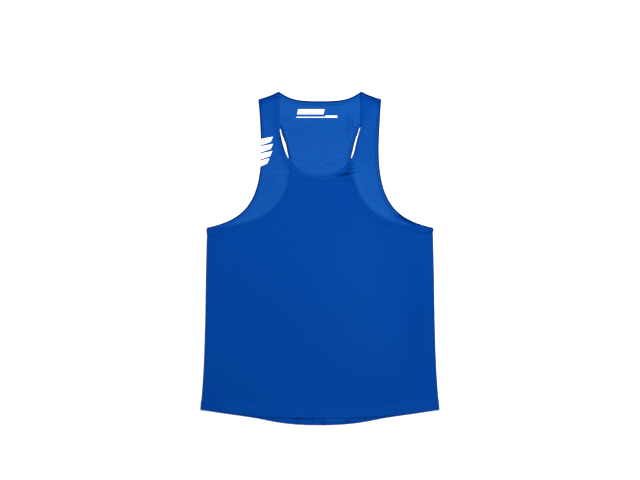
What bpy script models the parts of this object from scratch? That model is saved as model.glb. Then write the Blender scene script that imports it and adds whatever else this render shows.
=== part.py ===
"""A racerback running singlet in thin royal blue knit, laid flat on its back with the front uppermost.

Metres, +Z up. The garment lies on z = 0, with its centre line along Y and its neck towards +Y. Left and
right are the wearer's, so the left armhole is at +X. The outlines are laid out in two numbers, across and
down: across from the centre line, and down from the top of the shoulders.
"""

from collections import namedtuple
from math import cos, pi, radians, sin

import bpy
import numpy as np

# The whole garment
LENGTH = 0.7232  # top of the shoulders to the lowest point of the back hem
FRONT_LENGTH = 0.7082
HEM_CORNER = np.array([0.2587, 0.6898])
ARMPIT_ACROSS = 0.245
ARMPIT_DOWN = 0.2967

# The cloth
CLOTH = 0.001  # the wall of every piece
LAYER_GAP = 0.0003  # between the back and the front that lies on it
SEAM_GAP = 0.0003  # between a binding and its panel
FOLD_REACH = CLOTH + LAYER_GAP / 2  # how far a folded binding stands out past its seam
BACK_INNER = CLOTH  # height of the back's inner face
FRONT_INNER = CLOTH + LAYER_GAP  # height of the front's inner face where it lies on the back

# The shoulders, whose seams slope down from the neck
SHOULDER_SLOPE = radians(21)
SHOULDER_SEAM = np.array([cos(SHOULDER_SLOPE), sin(SHOULDER_SLOPE)])
SHOULDER_LENGTH = 0.0465
NECK_POINT = np.array([0.0888, FOLD_REACH * cos(SHOULDER_SLOPE)])
SHOULDER_TIP = NECK_POINT + SHOULDER_LENGTH * SHOULDER_SEAM

# The neck, and the armholes where each panel is narrowest
FRONT_NECK_DOWN = 0.1829
BACK_NECK_DOWN = 0.0209
FRONT_NARROWEST = np.array([0.1267, 0.1249])
BACK_NARROWEST = np.array([0.0689, 0.155])
ARMPIT = np.array([ARMPIT_ACROSS - FOLD_REACH, ARMPIT_DOWN])
SIDE_SEAM = np.array([0.0, 1.0])
CENTRE_LINE = np.array([0.0, 1.0])

# The bindings
NECK_BINDING = 0.009
ARMHOLE_BINDING = 0.008
SLANT = 1.08  # a seam crosses a binding on a slant, this much longer than the binding is wide
BLEND = 0.03  # stretch of binding over which its cut turns to line up with a seam
NECK_CUTS = (SHOULDER_SEAM * SLANT, CENTRE_LINE)  # how a neck binding is cut at its edge's two ends
ARMHOLE_CUTS = (-SHOULDER_SEAM * SLANT, SIDE_SEAM)
FOLD_STEPS = 6  # facets in the half turn of a binding round a seam

# Where the front runs out past the back's armhole it comes down to the floor
STAYS_UP = 0.015  # how far past the back it still stands clear
REACHES_FLOOR = 0.045  # how far past the back it lies on the floor

# The grid of each half panel
COLUMNS = 9
FRONT_NECK_ROWS = 16
BACK_NECK_ROWS = 8
ARMHOLE_ROWS = 24
SIDE_ROWS = 12
ARMPIT_ROW_DOWN = 0.47  # where the row from the armpit meets the centre line

# Each stretch of an outline is a cubic curve; leave and arrive are the handles at its ends
Stretch = namedtuple("Stretch", "start leave arrive end")
FRONT_NECK = (
    Stretch(NECK_POINT, (0, 0.015), (0, -0.015), (0.0888, 0.048)),
    Stretch((0.0888, 0.048), (0, 0.073), (0.069, 0), (0, FRONT_NECK_DOWN)),
)
BACK_NECK = (Stretch(NECK_POINT, (-0.0243, 0.0158), (0.051, 0), (0, BACK_NECK_DOWN)),)
FRONT_ARMHOLE = (
    Stretch(SHOULDER_TIP, (-0.0016, 0.03), (0, -0.03), FRONT_NARROWEST),
    Stretch(FRONT_NARROWEST, (0, 0.104), (-0.0893, -0.0223), ARMPIT),
)
BACK_ARMHOLE = (
    Stretch(SHOULDER_TIP, (-0.0391, 0.0519), (0, -0.055), BACK_NARROWEST),
    Stretch(BACK_NARROWEST, (0, 0.072), (-0.141, -0.0025), ARMPIT),
)
FRONT_HEM = (Stretch((0, FRONT_LENGTH), (0.13, 0), (-0.08, 0.0098), HEM_CORNER),)
BACK_HEM = (Stretch((0, LENGTH), (0.088, 0), (-0.0903, 0.0111), HEM_CORNER),)
SIDE_LEAVE = (0.004, 0.13)
SIDE_ARRIVE = (-0.013, -0.13)


def trace(stretches, samples=240):
    """Closely spaced points along a chain of curves."""
    chain = []
    for stretch in stretches:
        start, end = np.array(stretch.start), np.array(stretch.end)
        handles = start + stretch.leave, end + stretch.arrive
        t = np.linspace(0, 1, samples)[:, None]
        points = (1 - t) ** 3 * start + 3 * t * (1 - t) ** 2 * handles[0]
        points += 3 * t**2 * (1 - t) * handles[1] + t**3 * end
        chain.append(points if not chain else points[1:])
    return np.concatenate(chain)


def walked(edge):
    """How far along an edge each of its points lies."""
    return np.concatenate([[0], np.cumsum(np.linalg.norm(np.diff(edge, axis=0), axis=1))])


def evenly(edge, steps):
    """The positions in an edge's points that divide it into equal steps."""
    lengths = walked(edge)
    return np.searchsorted(lengths, np.linspace(0, lengths[-1], steps + 1) - 1e-9)


def ease(t):
    """0 to 1 with a gentle start and end."""
    t = np.clip(t, 0, 1)
    return t * t * (3 - 2 * t)


def inset(edge, depth, first_cut, last_cut):
    """An edge moved into the cloth by depth, along the cut at each end and square to the edge between."""
    tangents = np.gradient(edge, axis=0)
    tangents /= np.linalg.norm(tangents, axis=1)[:, None]
    inward = np.stack([-tangents[:, 1], tangents[:, 0]], axis=1)
    inward *= np.sign(inward[0] @ first_cut)
    lengths = walked(edge)
    for cut, distance in ((first_cut, lengths), (last_cut, lengths[-1] - lengths)):
        share = 1 - ease(distance / BLEND)[:, None]
        inward = inward * (1 - share) + cut * share
    return edge + inward * depth


def past_the_back(points):
    """How far each point lies outside the back's armhole, and 0 for one that lies over the back."""
    edge = trace(BACK_ARMHOLE)
    across, down = points[..., 0], points[..., 1]
    outside = across > np.interp(down, edge[:, 1], edge[:, 0])
    nearest = np.linalg.norm(points[..., None, :] - edge, axis=-1).min(axis=-1)
    return np.where(outside & (down < ARMPIT_DOWN), nearest, 0)


def front_height(points):
    """Height of the front's inner face: on the back, and down to the floor beyond it."""
    lowered = ease((past_the_back(points) - STAYS_UP) / (REACHES_FLOOR - STAYS_UP))
    return FRONT_INNER * (1 - lowered)


def back_height(points):
    """Height of the back's inner face."""
    return np.full(points.shape[:-1], BACK_INNER)


def in_space(points, heights):
    """Points given across and down, placed in the garment's frame at their heights."""
    return np.stack([points[..., 0], LENGTH / 2 - points[..., 1], heights], axis=-1)


def panel_grid(neck, neck_rows, armhole, hem, height):
    """One half of a panel as rows of points, from the centre side to the outer side, shoulder to hem."""
    neck_edge = trace(neck)
    armhole_edge = trace(armhole)
    neck_cut = inset(neck_edge, NECK_BINDING + SEAM_GAP, *NECK_CUTS)
    armhole_cut = inset(armhole_edge, ARMHOLE_BINDING + SEAM_GAP, *ARMHOLE_CUTS)
    neck_cut = neck_cut[evenly(neck_edge, neck_rows)]
    armhole_cut = armhole_cut[evenly(armhole_edge, ARMHOLE_ROWS)]

    hem_edge = trace(hem)
    hem_row = hem_edge[evenly(hem_edge, COLUMNS)]
    side = trace([Stretch(armhole_cut[-1], SIDE_LEAVE, SIDE_ARRIVE, hem_row[-1])])
    side = side[evenly(side, SIDE_ROWS)]
    level = np.array([0, ARMPIT_ROW_DOWN])
    upper_centre = np.linspace(neck_cut[-1], level, ARMHOLE_ROWS - neck_rows + 1)
    lower_centre = np.linspace(level, hem_row[0], SIDE_ROWS + 1)

    inner = np.concatenate([neck_cut, upper_centre[1:], lower_centre[1:]])[:, None]
    outer = np.concatenate([armhole_cut, side[1:]])[:, None]
    share = np.linspace(0, 1, COLUMNS + 1)[:, None]
    rows = inner * (1 - share) + outer * share
    bow = hem_row - rows[-1]
    rows += bow * np.linspace(0, 1, len(rows))[:, None, None] ** 2
    return in_space(rows, height(rows))


def strip(outline, depth, cuts, steps, height):
    """A binding along one edge: pairs of points, on the edge and where the panel begins."""
    edge = trace(outline)
    pairs = np.stack([edge, inset(edge, depth, *cuts)], axis=1)[evenly(edge, steps)]
    return in_space(pairs, height(pairs))


def fold(upper, lower, seam):
    """The half turn of a binding round a seam, from its pair on the front to its pair on the back."""
    outward = np.array([abs(seam[1]), abs(seam[0]), 0])
    middle = (FRONT_INNER + BACK_INNER) / 2
    pairs = []
    for step in range(1, FOLD_STEPS):
        turn = pi * step / FOLD_STEPS
        pair = upper + (lower - upper) * step / FOLD_STEPS + outward * LAYER_GAP / 2 * sin(turn)
        pair[:, 2] = middle + LAYER_GAP / 2 * cos(turn)
        pairs.append(pair)
    return np.array(pairs)


def neck_grid():
    """Half of the neck binding: from the front's centre, over the shoulder seam, to the back's centre."""
    front = strip(FRONT_NECK, NECK_BINDING, NECK_CUTS, FRONT_NECK_ROWS, front_height)[::-1]
    back = strip(BACK_NECK, NECK_BINDING, NECK_CUTS, BACK_NECK_ROWS, back_height)
    return np.concatenate([front, fold(front[-1], back[0], SHOULDER_SEAM), back])


def armhole_grid():
    """An armhole binding, all round: down the front, round the side seam, up the back, over the shoulder."""
    front = strip(FRONT_ARMHOLE, ARMHOLE_BINDING, ARMHOLE_CUTS, ARMHOLE_ROWS, front_height)
    back = strip(BACK_ARMHOLE, ARMHOLE_BINDING, ARMHOLE_CUTS, ARMHOLE_ROWS, back_height)[::-1]
    at_side = fold(front[-1], back[0], SIDE_SEAM)
    at_shoulder = fold(front[0], back[-1], SHOULDER_SEAM)[::-1]
    return np.concatenate([front, at_side, back, at_shoulder])


def knit(name, colour):
    """A matt knit of one colour, given as linear red, green and blue."""
    material = bpy.data.materials.new(name)
    material.use_nodes = True
    surface = material.node_tree.nodes["Principled BSDF"]
    surface.inputs["Base Color"].default_value = (*colour, 1)
    surface.inputs["Roughness"].default_value = 0.8
    surface.inputs["Metallic"].default_value = 0
    return material


def cloth_piece(name, grid, colour, ring=False, mirrored=False, turned=False):
    """An object whose grid is the cloth's inner face, thickened outwards. A ring's last row meets its first."""
    rows, columns = grid.shape[:2]
    faces = []
    for row in range(rows if ring else rows - 1):
        following = (row + 1) % rows
        for column in range(columns - 1):
            corners = [(row, column), (following, column), (following, column + 1), (row, column + 1)]
            faces.append([r * columns + c for r, c in (corners[::-1] if turned else corners)])
    mesh = bpy.data.meshes.new(name)
    mesh.from_pydata(grid.reshape(-1, 3).tolist(), [], faces)
    mesh.materials.append(knit(name, colour))
    piece = bpy.data.objects.new(name, mesh)
    collection.objects.link(piece)
    if mirrored:
        mirror = piece.modifiers.new("Other half", "MIRROR")
        mirror.merge_threshold = 0.00001
    wall = piece.modifiers.new("Cloth", "SOLIDIFY")
    wall.thickness = CLOTH
    wall.offset = 1
    return piece


for item in list(bpy.data.objects):
    bpy.data.objects.remove(item)
collection = bpy.data.collections.new("running_singlet")
bpy.context.scene.collection.children.link(collection)

DOUBLE_LAYER_BLUE = (0.002, 0.063, 0.360)
SINGLE_LAYER_BLUE = (0.006, 0.102, 0.469)
BINDING_BLUE = (0.002, 0.078, 0.397)

front_grid = panel_grid(FRONT_NECK, FRONT_NECK_ROWS, FRONT_ARMHOLE, FRONT_HEM, front_height)
back_grid = panel_grid(BACK_NECK, BACK_NECK_ROWS, BACK_ARMHOLE, BACK_HEM, back_height)
cloth_piece("front_panel", front_grid, DOUBLE_LAYER_BLUE, mirrored=True)
cloth_piece("back_panel", back_grid, SINGLE_LAYER_BLUE, mirrored=True, turned=True)
cloth_piece("neck_binding", neck_grid(), BINDING_BLUE, mirrored=True, turned=True)
left_grid = armhole_grid()
cloth_piece("armhole_binding_left", left_grid, BINDING_BLUE, ring=True, turned=True)
cloth_piece("armhole_binding_right", left_grid * (-1, 1, 1), BINDING_BLUE, ring=True)
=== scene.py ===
"""The looks of a racerback running singlet in thin royal blue knit, laid flat with its front uppermost.

Metres, in the garment's frame: it lies on z = 0, with its centre line along Y and its neck towards +Y.
Left and right are the wearer's, so the left armhole is at +X. Outlines are laid out in two numbers, across
and down: across from the centre line, and down from the top of the shoulders.
"""

from collections import namedtuple
from math import cos, pi, radians, sin

import bpy
import numpy as np
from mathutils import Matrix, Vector
from mathutils.bvhtree import BVHTree


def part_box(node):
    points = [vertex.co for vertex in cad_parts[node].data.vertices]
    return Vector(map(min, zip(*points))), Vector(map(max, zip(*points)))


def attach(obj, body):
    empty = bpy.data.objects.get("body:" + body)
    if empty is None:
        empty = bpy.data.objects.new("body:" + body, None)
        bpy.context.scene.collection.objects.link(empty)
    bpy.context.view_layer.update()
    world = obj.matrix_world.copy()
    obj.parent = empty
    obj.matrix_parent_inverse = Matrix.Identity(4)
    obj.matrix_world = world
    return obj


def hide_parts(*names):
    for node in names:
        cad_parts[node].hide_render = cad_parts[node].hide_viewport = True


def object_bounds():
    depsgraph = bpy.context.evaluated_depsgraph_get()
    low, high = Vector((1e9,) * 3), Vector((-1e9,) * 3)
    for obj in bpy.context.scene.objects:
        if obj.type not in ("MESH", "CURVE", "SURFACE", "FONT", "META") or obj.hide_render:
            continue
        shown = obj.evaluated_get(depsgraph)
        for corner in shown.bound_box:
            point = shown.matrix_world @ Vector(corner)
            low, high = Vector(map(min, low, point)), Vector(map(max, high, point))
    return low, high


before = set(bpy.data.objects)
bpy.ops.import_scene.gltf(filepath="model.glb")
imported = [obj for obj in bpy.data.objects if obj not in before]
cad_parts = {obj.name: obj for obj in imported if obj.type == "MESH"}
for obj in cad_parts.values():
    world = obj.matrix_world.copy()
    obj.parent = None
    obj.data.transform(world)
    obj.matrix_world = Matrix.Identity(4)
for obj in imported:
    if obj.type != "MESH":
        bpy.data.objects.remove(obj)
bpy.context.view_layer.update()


# ---- Back panel ----
# One piece of fine polyester jersey, cut with narrow racerback shoulders and deep armholes. It lies on the
# floor with its right side down. Its hem allowance is turned up once onto the inside, so it shows in the tail
# that hangs below the front, and its neck and armhole edges are tucked into the folded bindings.

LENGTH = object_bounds()[1].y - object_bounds()[0].y  # shoulders to the dip of the back hem
ARMPIT_ACROSS = 0.245
ARMPIT_DOWN = 0.2951
HEM_CORNER = np.array([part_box("back_panel")[1].x, 0.6898])
FOLD_REACH = 0.00115  # how far a binding stands out past the seam it is folded round
SHOULDER_SLOPE = radians(21)
SHOULDER_SEAM = np.array([cos(SHOULDER_SLOPE), sin(SHOULDER_SLOPE)])
SHOULDER_LENGTH = 0.0482
NECK_POINT = np.array([0.0877, FOLD_REACH * cos(SHOULDER_SLOPE)])
SHOULDER_TIP = NECK_POINT + SHOULDER_LENGTH * SHOULDER_SEAM
ARMPIT = np.array([ARMPIT_ACROSS - FOLD_REACH, ARMPIT_DOWN])
BACK_NARROWEST = np.array([0.0689, 0.155])
DOWN = np.array([0.0, 1.0])  # the way the centre line and the side seams run
SLANT = 1.08  # a seam crosses a binding on a slant, this much longer than the binding is wide
NECK_CUTS = (SHOULDER_SEAM * SLANT, DOWN)
ARMHOLE_CUTS = (-SHOULDER_SEAM * SLANT, DOWN)
CUT_BLEND = 0.03

NECK_BINDING = 0.009
ARMHOLE_BINDING = 0.008
TUCK = 0.0012  # how far a panel's edge goes inside its binding
KNIT = 0.00042  # thickness of the jersey
BINDING_HALF = 0.00066  # half the thickness of a binding with a panel inside it
FLOOR_CLEAR = 0.00035  # room under the back for its stitches and for the bindings' puckers
HEM_DEPTH = 0.0195
HEM_TURN = 0.00024  # radius of the fold along a hem

Stretch = namedtuple("Stretch", "start leave arrive end")
Panel = namedtuple("Panel", "neck armhole side hem")
Crease = namedtuple("Crease", "start end bow width height")


def trace(stretches, samples=240):
    """Closely spaced points along a chain of curves."""
    chain = []
    for stretch in stretches:
        start, end = np.array(stretch.start), np.array(stretch.end)
        handles = start + stretch.leave, end + stretch.arrive
        t = np.linspace(0, 1, samples)[:, None]
        points = (1 - t) ** 3 * start + 3 * t * (1 - t) ** 2 * handles[0]
        points += 3 * t**2 * (1 - t) * handles[1] + t**3 * end
        chain.append(points if not chain else points[1:])
    return np.concatenate(chain)


def walked(edge):
    """How far along an edge each of its points lies."""
    return np.concatenate([[0], np.cumsum(np.linalg.norm(np.diff(edge, axis=0), axis=1))])


def divided(edge, lengths, steps):
    """Points that divide an edge into equal steps of the given lengths along it."""
    stops = np.linspace(0, lengths[-1], steps + 1)
    return np.stack([np.interp(stops, lengths, edge[:, axis]) for axis in (0, 1)], axis=1)


def ease(t):
    """0 to 1 with a gentle start and end."""
    t = np.clip(t, 0, 1)
    return t * t * (3 - 2 * t)


def inset(edge, depth, first_cut, last_cut):
    """An edge moved into the cloth by depth, along the cut at each end and square to the edge between."""
    tangents = np.gradient(edge, axis=0)
    tangents /= np.linalg.norm(tangents, axis=1)[:, None]
    inward = np.stack([-tangents[:, 1], tangents[:, 0]], axis=1)
    inward *= np.sign(inward[0] @ first_cut)
    lengths = walked(edge)
    for cut, distance in ((first_cut, lengths), (last_cut, lengths[-1] - lengths)):
        share = 1 - ease(distance / CUT_BLEND)[:, None]
        inward = inward * (1 - share) + cut * share
    return edge + inward * depth


def cut_out(neck, armhole, hem):
    """A panel's four edges, from its curves. The side edge runs from the armhole binding to the hem."""
    side_top = ARMPIT + (0.0005, ARMHOLE_BINDING + 0.0003)
    side = trace([Stretch(side_top, (0.0052, 0.13), (-0.013, -0.13), HEM_CORNER)])
    return Panel(trace(neck), trace(armhole), side, trace(hem))


back = cut_out(
    [Stretch(NECK_POINT, (-0.0243, 0.0158), (0.051, 0), (0, 0.0209))],
    [
        Stretch(SHOULDER_TIP, (-0.0391, 0.0519), (0, -0.055), BACK_NARROWEST),
        Stretch(BACK_NARROWEST, (0, 0.072), (-0.141, -0.0025), ARMPIT),
    ],
    [
        Stretch((0, LENGTH), (0.058, 0), (-0.040, 0.0086), (0.130, 0.7097)),
        Stretch((0.130, 0.7097), (0.022, -0.0046), (-0.0467, 0.0084), HEM_CORNER),
    ],
)

# The bed is a table of places over the whole floor, 2 mm apart, on which each layer's heights are kept
BED_STEP = 0.002
BED_HALVES = (145, 192)  # places from the middle to each side
bed_x, bed_y = [np.arange(-half, half + 1) * BED_STEP for half in BED_HALVES]
place_x, place_y = np.meshgrid(bed_x, bed_y, indexing="ij")
places = np.stack([abs(place_x), LENGTH / 2 - place_y], axis=-1)


BACK_DRIFT = 0.0036  # how far the back slid to the left under the front, at the armholes
DRIFT_DOWN = 0.235
DRIFT_REACH = 0.05


def drift(down):
    """How far to the left the back lies under the front, at each distance down the garment."""
    return BACK_DRIFT * np.exp(-(((down - DRIFT_DOWN) / DRIFT_REACH) ** 4))


back_places = np.stack([abs(place_x - drift(places[..., 1])), places[..., 1]], axis=-1)


def off(edge, spots):
    """The distance of each spot on the bed from an edge, row by row to save memory."""
    return np.array([np.linalg.norm(row[:, None] - edge, axis=-1).min(axis=-1) for row in spots])


def covered(panel, spots):
    """1 at each spot on the bed that a panel covers, bindings included, and 0 elsewhere."""
    across, down = spots[..., 0], spots[..., 1]
    neck, armhole, side, hem = panel
    over = (across > np.interp(down, neck[:, 1], neck[:, 0])) | (down > neck[-1, 1])
    over &= (across < np.interp(down, armhole[:, 1], armhole[:, 0])) | (down > ARMPIT_DOWN)
    over &= (across < np.interp(down, side[:, 1], side[:, 0])) | (down < ARMPIT_DOWN)
    over &= down < np.interp(across, hem[:, 0], hem[:, 1])
    over &= down > NECK_POINT[1] + (across - NECK_POINT[0]) * np.tan(SHOULDER_SLOPE)
    return over * 1.0


def spread(field, times=1):
    """A bed field with each value averaged with its four neighbours'."""
    for _ in range(times):
        wide = np.pad(field, 1, mode="edge")
        field = (wide[:-2, 1:-1] + wide[2:, 1:-1] + wide[1:-1, :-2] + wide[1:-1, 2:]) / 4
    return field


def grown(field):
    """A bed field with each value raised to the highest of its neighbours', so that no edge is missed."""
    wide = np.pad(field, 1, mode="edge")
    return np.max([wide[i : i + len(bed_x), j : j + len(bed_y)] for i in range(3) for j in range(3)], axis=0)


def lie_on(support, sag=0.00002, rounds=70):
    """Heights of cloth that lies on a support: it touches the high places and sags between them."""
    under = support
    for _ in range(3):
        under = np.maximum(support, spread(under))
    height = under
    for _ in range(rounds):
        height = np.maximum(under, spread(height) - sag)
    return height


CREASE_FADE = 0.35  # the share of a crease's length that it takes to rise from each end
CREASE_SLOPES = (1.25, 0.75)  # its width on the gentle side and on the steep one, as shares


def creased(creases):
    """What folds add over the bed. Each is a soft ridge that fades at its ends, steeper on one side."""
    total = np.zeros_like(place_x)
    for crease in creases:
        start, end = np.array(crease.start), np.array(crease.end)
        length = np.linalg.norm(end - start)
        run = (end - start) / length
        away = np.stack([place_x, LENGTH / 2 - place_y], axis=-1) - start
        t = away @ run / length
        side = away @ np.array([-run[1], run[0]]) - crease.bow * 4 * t * (1 - t)
        width = crease.width * np.where(side > 0, *CREASE_SLOPES)
        ends = ease(t / CREASE_FADE) * ease((1 - t) / CREASE_FADE)
        total += crease.height * np.exp(-((side / width) ** 2)) * ends
    return total


SWELL_WAVES = 9
SWELL_LENGTHS = (0.06, 0.2)


def swell(seed, height):
    """A low, uneven rise and fall over the whole cloth, from a few broad waves."""
    rng = np.random.default_rng(seed)
    total = np.zeros_like(place_x)
    for _ in range(SWELL_WAVES):
        wave, way, start = rng.uniform(*SWELL_LENGTHS), rng.uniform(0, pi), rng.uniform(0, 2 * pi)
        total += np.cos((place_x * cos(way) + place_y * sin(way)) * 2 * pi / wave + start)
    return height * (total / SWELL_WAVES + 0.5).clip(0)


Nudge = namedtuple("Nudge", "x down reach shift")
NUDGE_WIDTH = 0.02
FRONT_NUDGES = (
    Nudge(0.083, 0.110, 0.026, -0.0031),
    Nudge(0.086, 0.077, 0.008, 0.0010),
    Nudge(-0.083, 0.113, 0.018, 0.0007),
)
BACK_NUDGES = (
    Nudge(0.083, 0.088, 0.018, -0.0017),
    Nudge(0.084, 0.078, 0.0075, -0.0035),
    Nudge(0.071, 0.144, 0.010, -0.0020),
    Nudge(-0.083, 0.113, 0.018, 0.0007),
    Nudge(-0.084, 0.080, 0.0088, 0.0036),
    Nudge(-0.071, 0.144, 0.009, 0.0018),
)


def laid(x, down, nudges):
    """Across positions, with each strap eased a little to one side, as it was laid down by hand."""
    eased = x
    for nudge in nudges:
        across, along = (x - nudge.x) / NUDGE_WIDTH, (down - nudge.down) / nudge.reach
        eased = eased + nudge.shift * np.exp(-(across**2) - along**2)
    return eased


def at(field, x, y):
    """A bed field's values at given places."""
    i, j = (x - bed_x[0]) / BED_STEP, (y - bed_y[0]) / BED_STEP
    low_i = np.clip(i.astype(int), 0, len(bed_x) - 2)
    low_j = np.clip(j.astype(int), 0, len(bed_y) - 2)
    i, j = i - low_i, j - low_j
    return (
        field[low_i, low_j] * (1 - i) * (1 - j)
        + field[low_i + 1, low_j] * i * (1 - j)
        + field[low_i, low_j + 1] * (1 - i) * j
        + field[low_i + 1, low_j + 1] * i * j
    )


BACK_CREASES = [
    # in the hollow of the neck, to the left of the centre
    Crease((0.0625, 0.040), (0.0650, 0.116), 0.0015, 0.0030, 0.0017),
    Crease((0.0745, 0.036), (0.0705, 0.092), -0.001, 0.0030, 0.0014),
    Crease((0.0530, 0.060), (0.0560, 0.104), 0.001, 0.0034, 0.0006),
    # and a fainter pair on the right
    Crease((-0.077, 0.060), (-0.070, 0.118), 0.002, 0.0034, 0.0010),
    Crease((-0.060, 0.048), (-0.063, 0.085), 0, 0.0030, 0.0006),
    # the tail, which ripples between its stitches
    Crease((-0.052, 0.7245), (-0.044, 0.7000), 0.001, 0.0042, 0.0019),
    Crease((-0.030, 0.7250), (-0.026, 0.7010), 0, 0.0036, 0.0016),
    Crease((-0.014, 0.7090), (0.040, 0.7110), 0.001, 0.0030, 0.0014),
    Crease((0.030, 0.7125), (0.090, 0.7080), -0.001, 0.0030, 0.0014),
    Crease((0.006, 0.7260), (0.012, 0.7020), 0, 0.0040, 0.0012),
    Crease((0.104, 0.7150), (0.098, 0.6950), 0, 0.0046, 0.0011),
    Crease((-0.100, 0.7150), (-0.085, 0.6970), 0, 0.0050, 0.0011),
]

back_neck_off, back_armhole_off = off(back.neck, back_places), off(back.armhole, back_places)
back_hem_off = off(back.hem, back_places)
back_cover = covered(back, back_places)
back_bands = 1.0 * ((back_neck_off < NECK_BINDING) | (back_armhole_off < ARMHOLE_BINDING))
back_lift = np.where(back_bands > 0, BINDING_HALF, KNIT / 2)
back_mid = lie_on(FLOOR_CLEAR + back_lift) + creased(BACK_CREASES) + swell(3, 0.00025)
back_hem_band = (back_hem_off < HEM_DEPTH) * back_cover
back_top = back_mid + back_lift + back_hem_band * 2 * HEM_TURN
back_top = grown(np.where(back_cover > 0, back_top, 0))

# The front is cut and settled here as well, because the panels meet each other at the shoulders and sides
FRONT_LENGTH = 0.7082
FRONT_NECK_DOWN = 0.1841
FRONT_NARROWEST = np.array([0.1274, 0.1249])
LAYER_CLEAR = 0.00018  # between the layers, which the knit's own fuzz fills
SIDE_ALLOWANCE = 0.0072  # the overlocked side seam, turned to the inside
SIDE_STEP = 0.0007  # how far it lifts the front
SHOULDER_ALLOWANCE = 0.0105
SHOULDER_STEP = 0.0004
front = cut_out(
    [
        Stretch(NECK_POINT, (0, 0.015), (0, -0.015), (0.0888, 0.048)),
        Stretch((0.0888, 0.048), (0, 0.073), (0.067, 0), (0, FRONT_NECK_DOWN)),
    ],
    [
        Stretch(SHOULDER_TIP, (-0.0016, 0.03), (0, -0.03), FRONT_NARROWEST),
        Stretch(FRONT_NARROWEST, (0, 0.122), (-0.074, -0.017), ARMPIT),
    ],
    [Stretch((0, FRONT_LENGTH), (0.13, 0), (-0.08, 0.0098), HEM_CORNER)],
)
FRONT_CREASES = [
    # fanned out from the left of the neckline, with two dark hollows between three ridges
    Crease((0.034, 0.1920), (0.086, 0.1790), 0.001, 0.0036, 0.0022),
    Crease((0.046, 0.1800), (0.092, 0.1660), 0.001, 0.0026, 0.0034),
    Crease((0.052, 0.1705), (0.094, 0.1560), 0.001, 0.0026, 0.0032),
    Crease((0.060, 0.1600), (0.086, 0.1500), 0.001, 0.0026, 0.0014),
    # a faint answer to them on the right
    Crease((-0.040, 0.1885), (-0.078, 0.1760), -0.001, 0.0040, 0.0009),
    # ripples along the foot of the left armhole, and the hollow that points in from the armpit
    Crease((0.171, 0.2680), (0.180, 0.2930), 0, 0.0036, 0.0012),
    Crease((0.184, 0.2740), (0.194, 0.2980), 0, 0.0034, 0.0011),
    Crease((0.197, 0.2790), (0.208, 0.3020), 0, 0.0036, 0.0013),
    Crease((0.213, 0.2840), (0.222, 0.3080), 0, 0.0034, 0.0012),
    Crease((0.212, 0.3070), (0.252, 0.2990), 0, 0.0028, 0.0022),
    Crease((0.208, 0.3180), (0.252, 0.3140), 0, 0.0032, 0.0020),
    # the same by the right armpit, fainter
    Crease((-0.182, 0.2740), (-0.192, 0.2960), 0, 0.0030, 0.0008),
    Crease((-0.205, 0.2820), (-0.214, 0.3040), 0, 0.0030, 0.0009),
    Crease((-0.214, 0.3120), (-0.252, 0.3050), 0, 0.0034, 0.0014),
    # where the side seams meet the hem
    Crease((0.2490, 0.6500), (0.2530, 0.6960), 0, 0.0030, 0.0013),
    Crease((-0.2490, 0.6560), (-0.2530, 0.6960), 0, 0.0030, 0.0011),
]
front_neck_off, front_armhole_off = off(front.neck, places), off(front.armhole, places)
front_hem_off, side_off = off(front.hem, places), off(front.side, places)
shoulder_off = (places - NECK_POINT) @ np.array([-SHOULDER_SEAM[1], SHOULDER_SEAM[0]])
front_cover = covered(front, places)
front_bands = 1.0 * ((front_neck_off < NECK_BINDING) | (front_armhole_off < ARMHOLE_BINDING))
front_hem_band = 1.0 * (front_hem_off < HEM_DEPTH)
side_band = ((side_off > 0.001) & (side_off < SIDE_ALLOWANCE)) * front_cover
shoulder_band = (shoulder_off < SHOULDER_ALLOWANCE) * (places[..., 0] > NECK_POINT[0]) * front_cover
front_lift = np.where(front_bands > 0, BINDING_HALF, KNIT / 2) + front_hem_band * 2 * HEM_TURN
front_lift += side_band * SIDE_STEP + shoulder_band * SHOULDER_STEP
front_mid = lie_on(back_top + LAYER_CLEAR + front_lift)
front_mid += creased(FRONT_CREASES) + swell(8, 0.0003)

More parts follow.
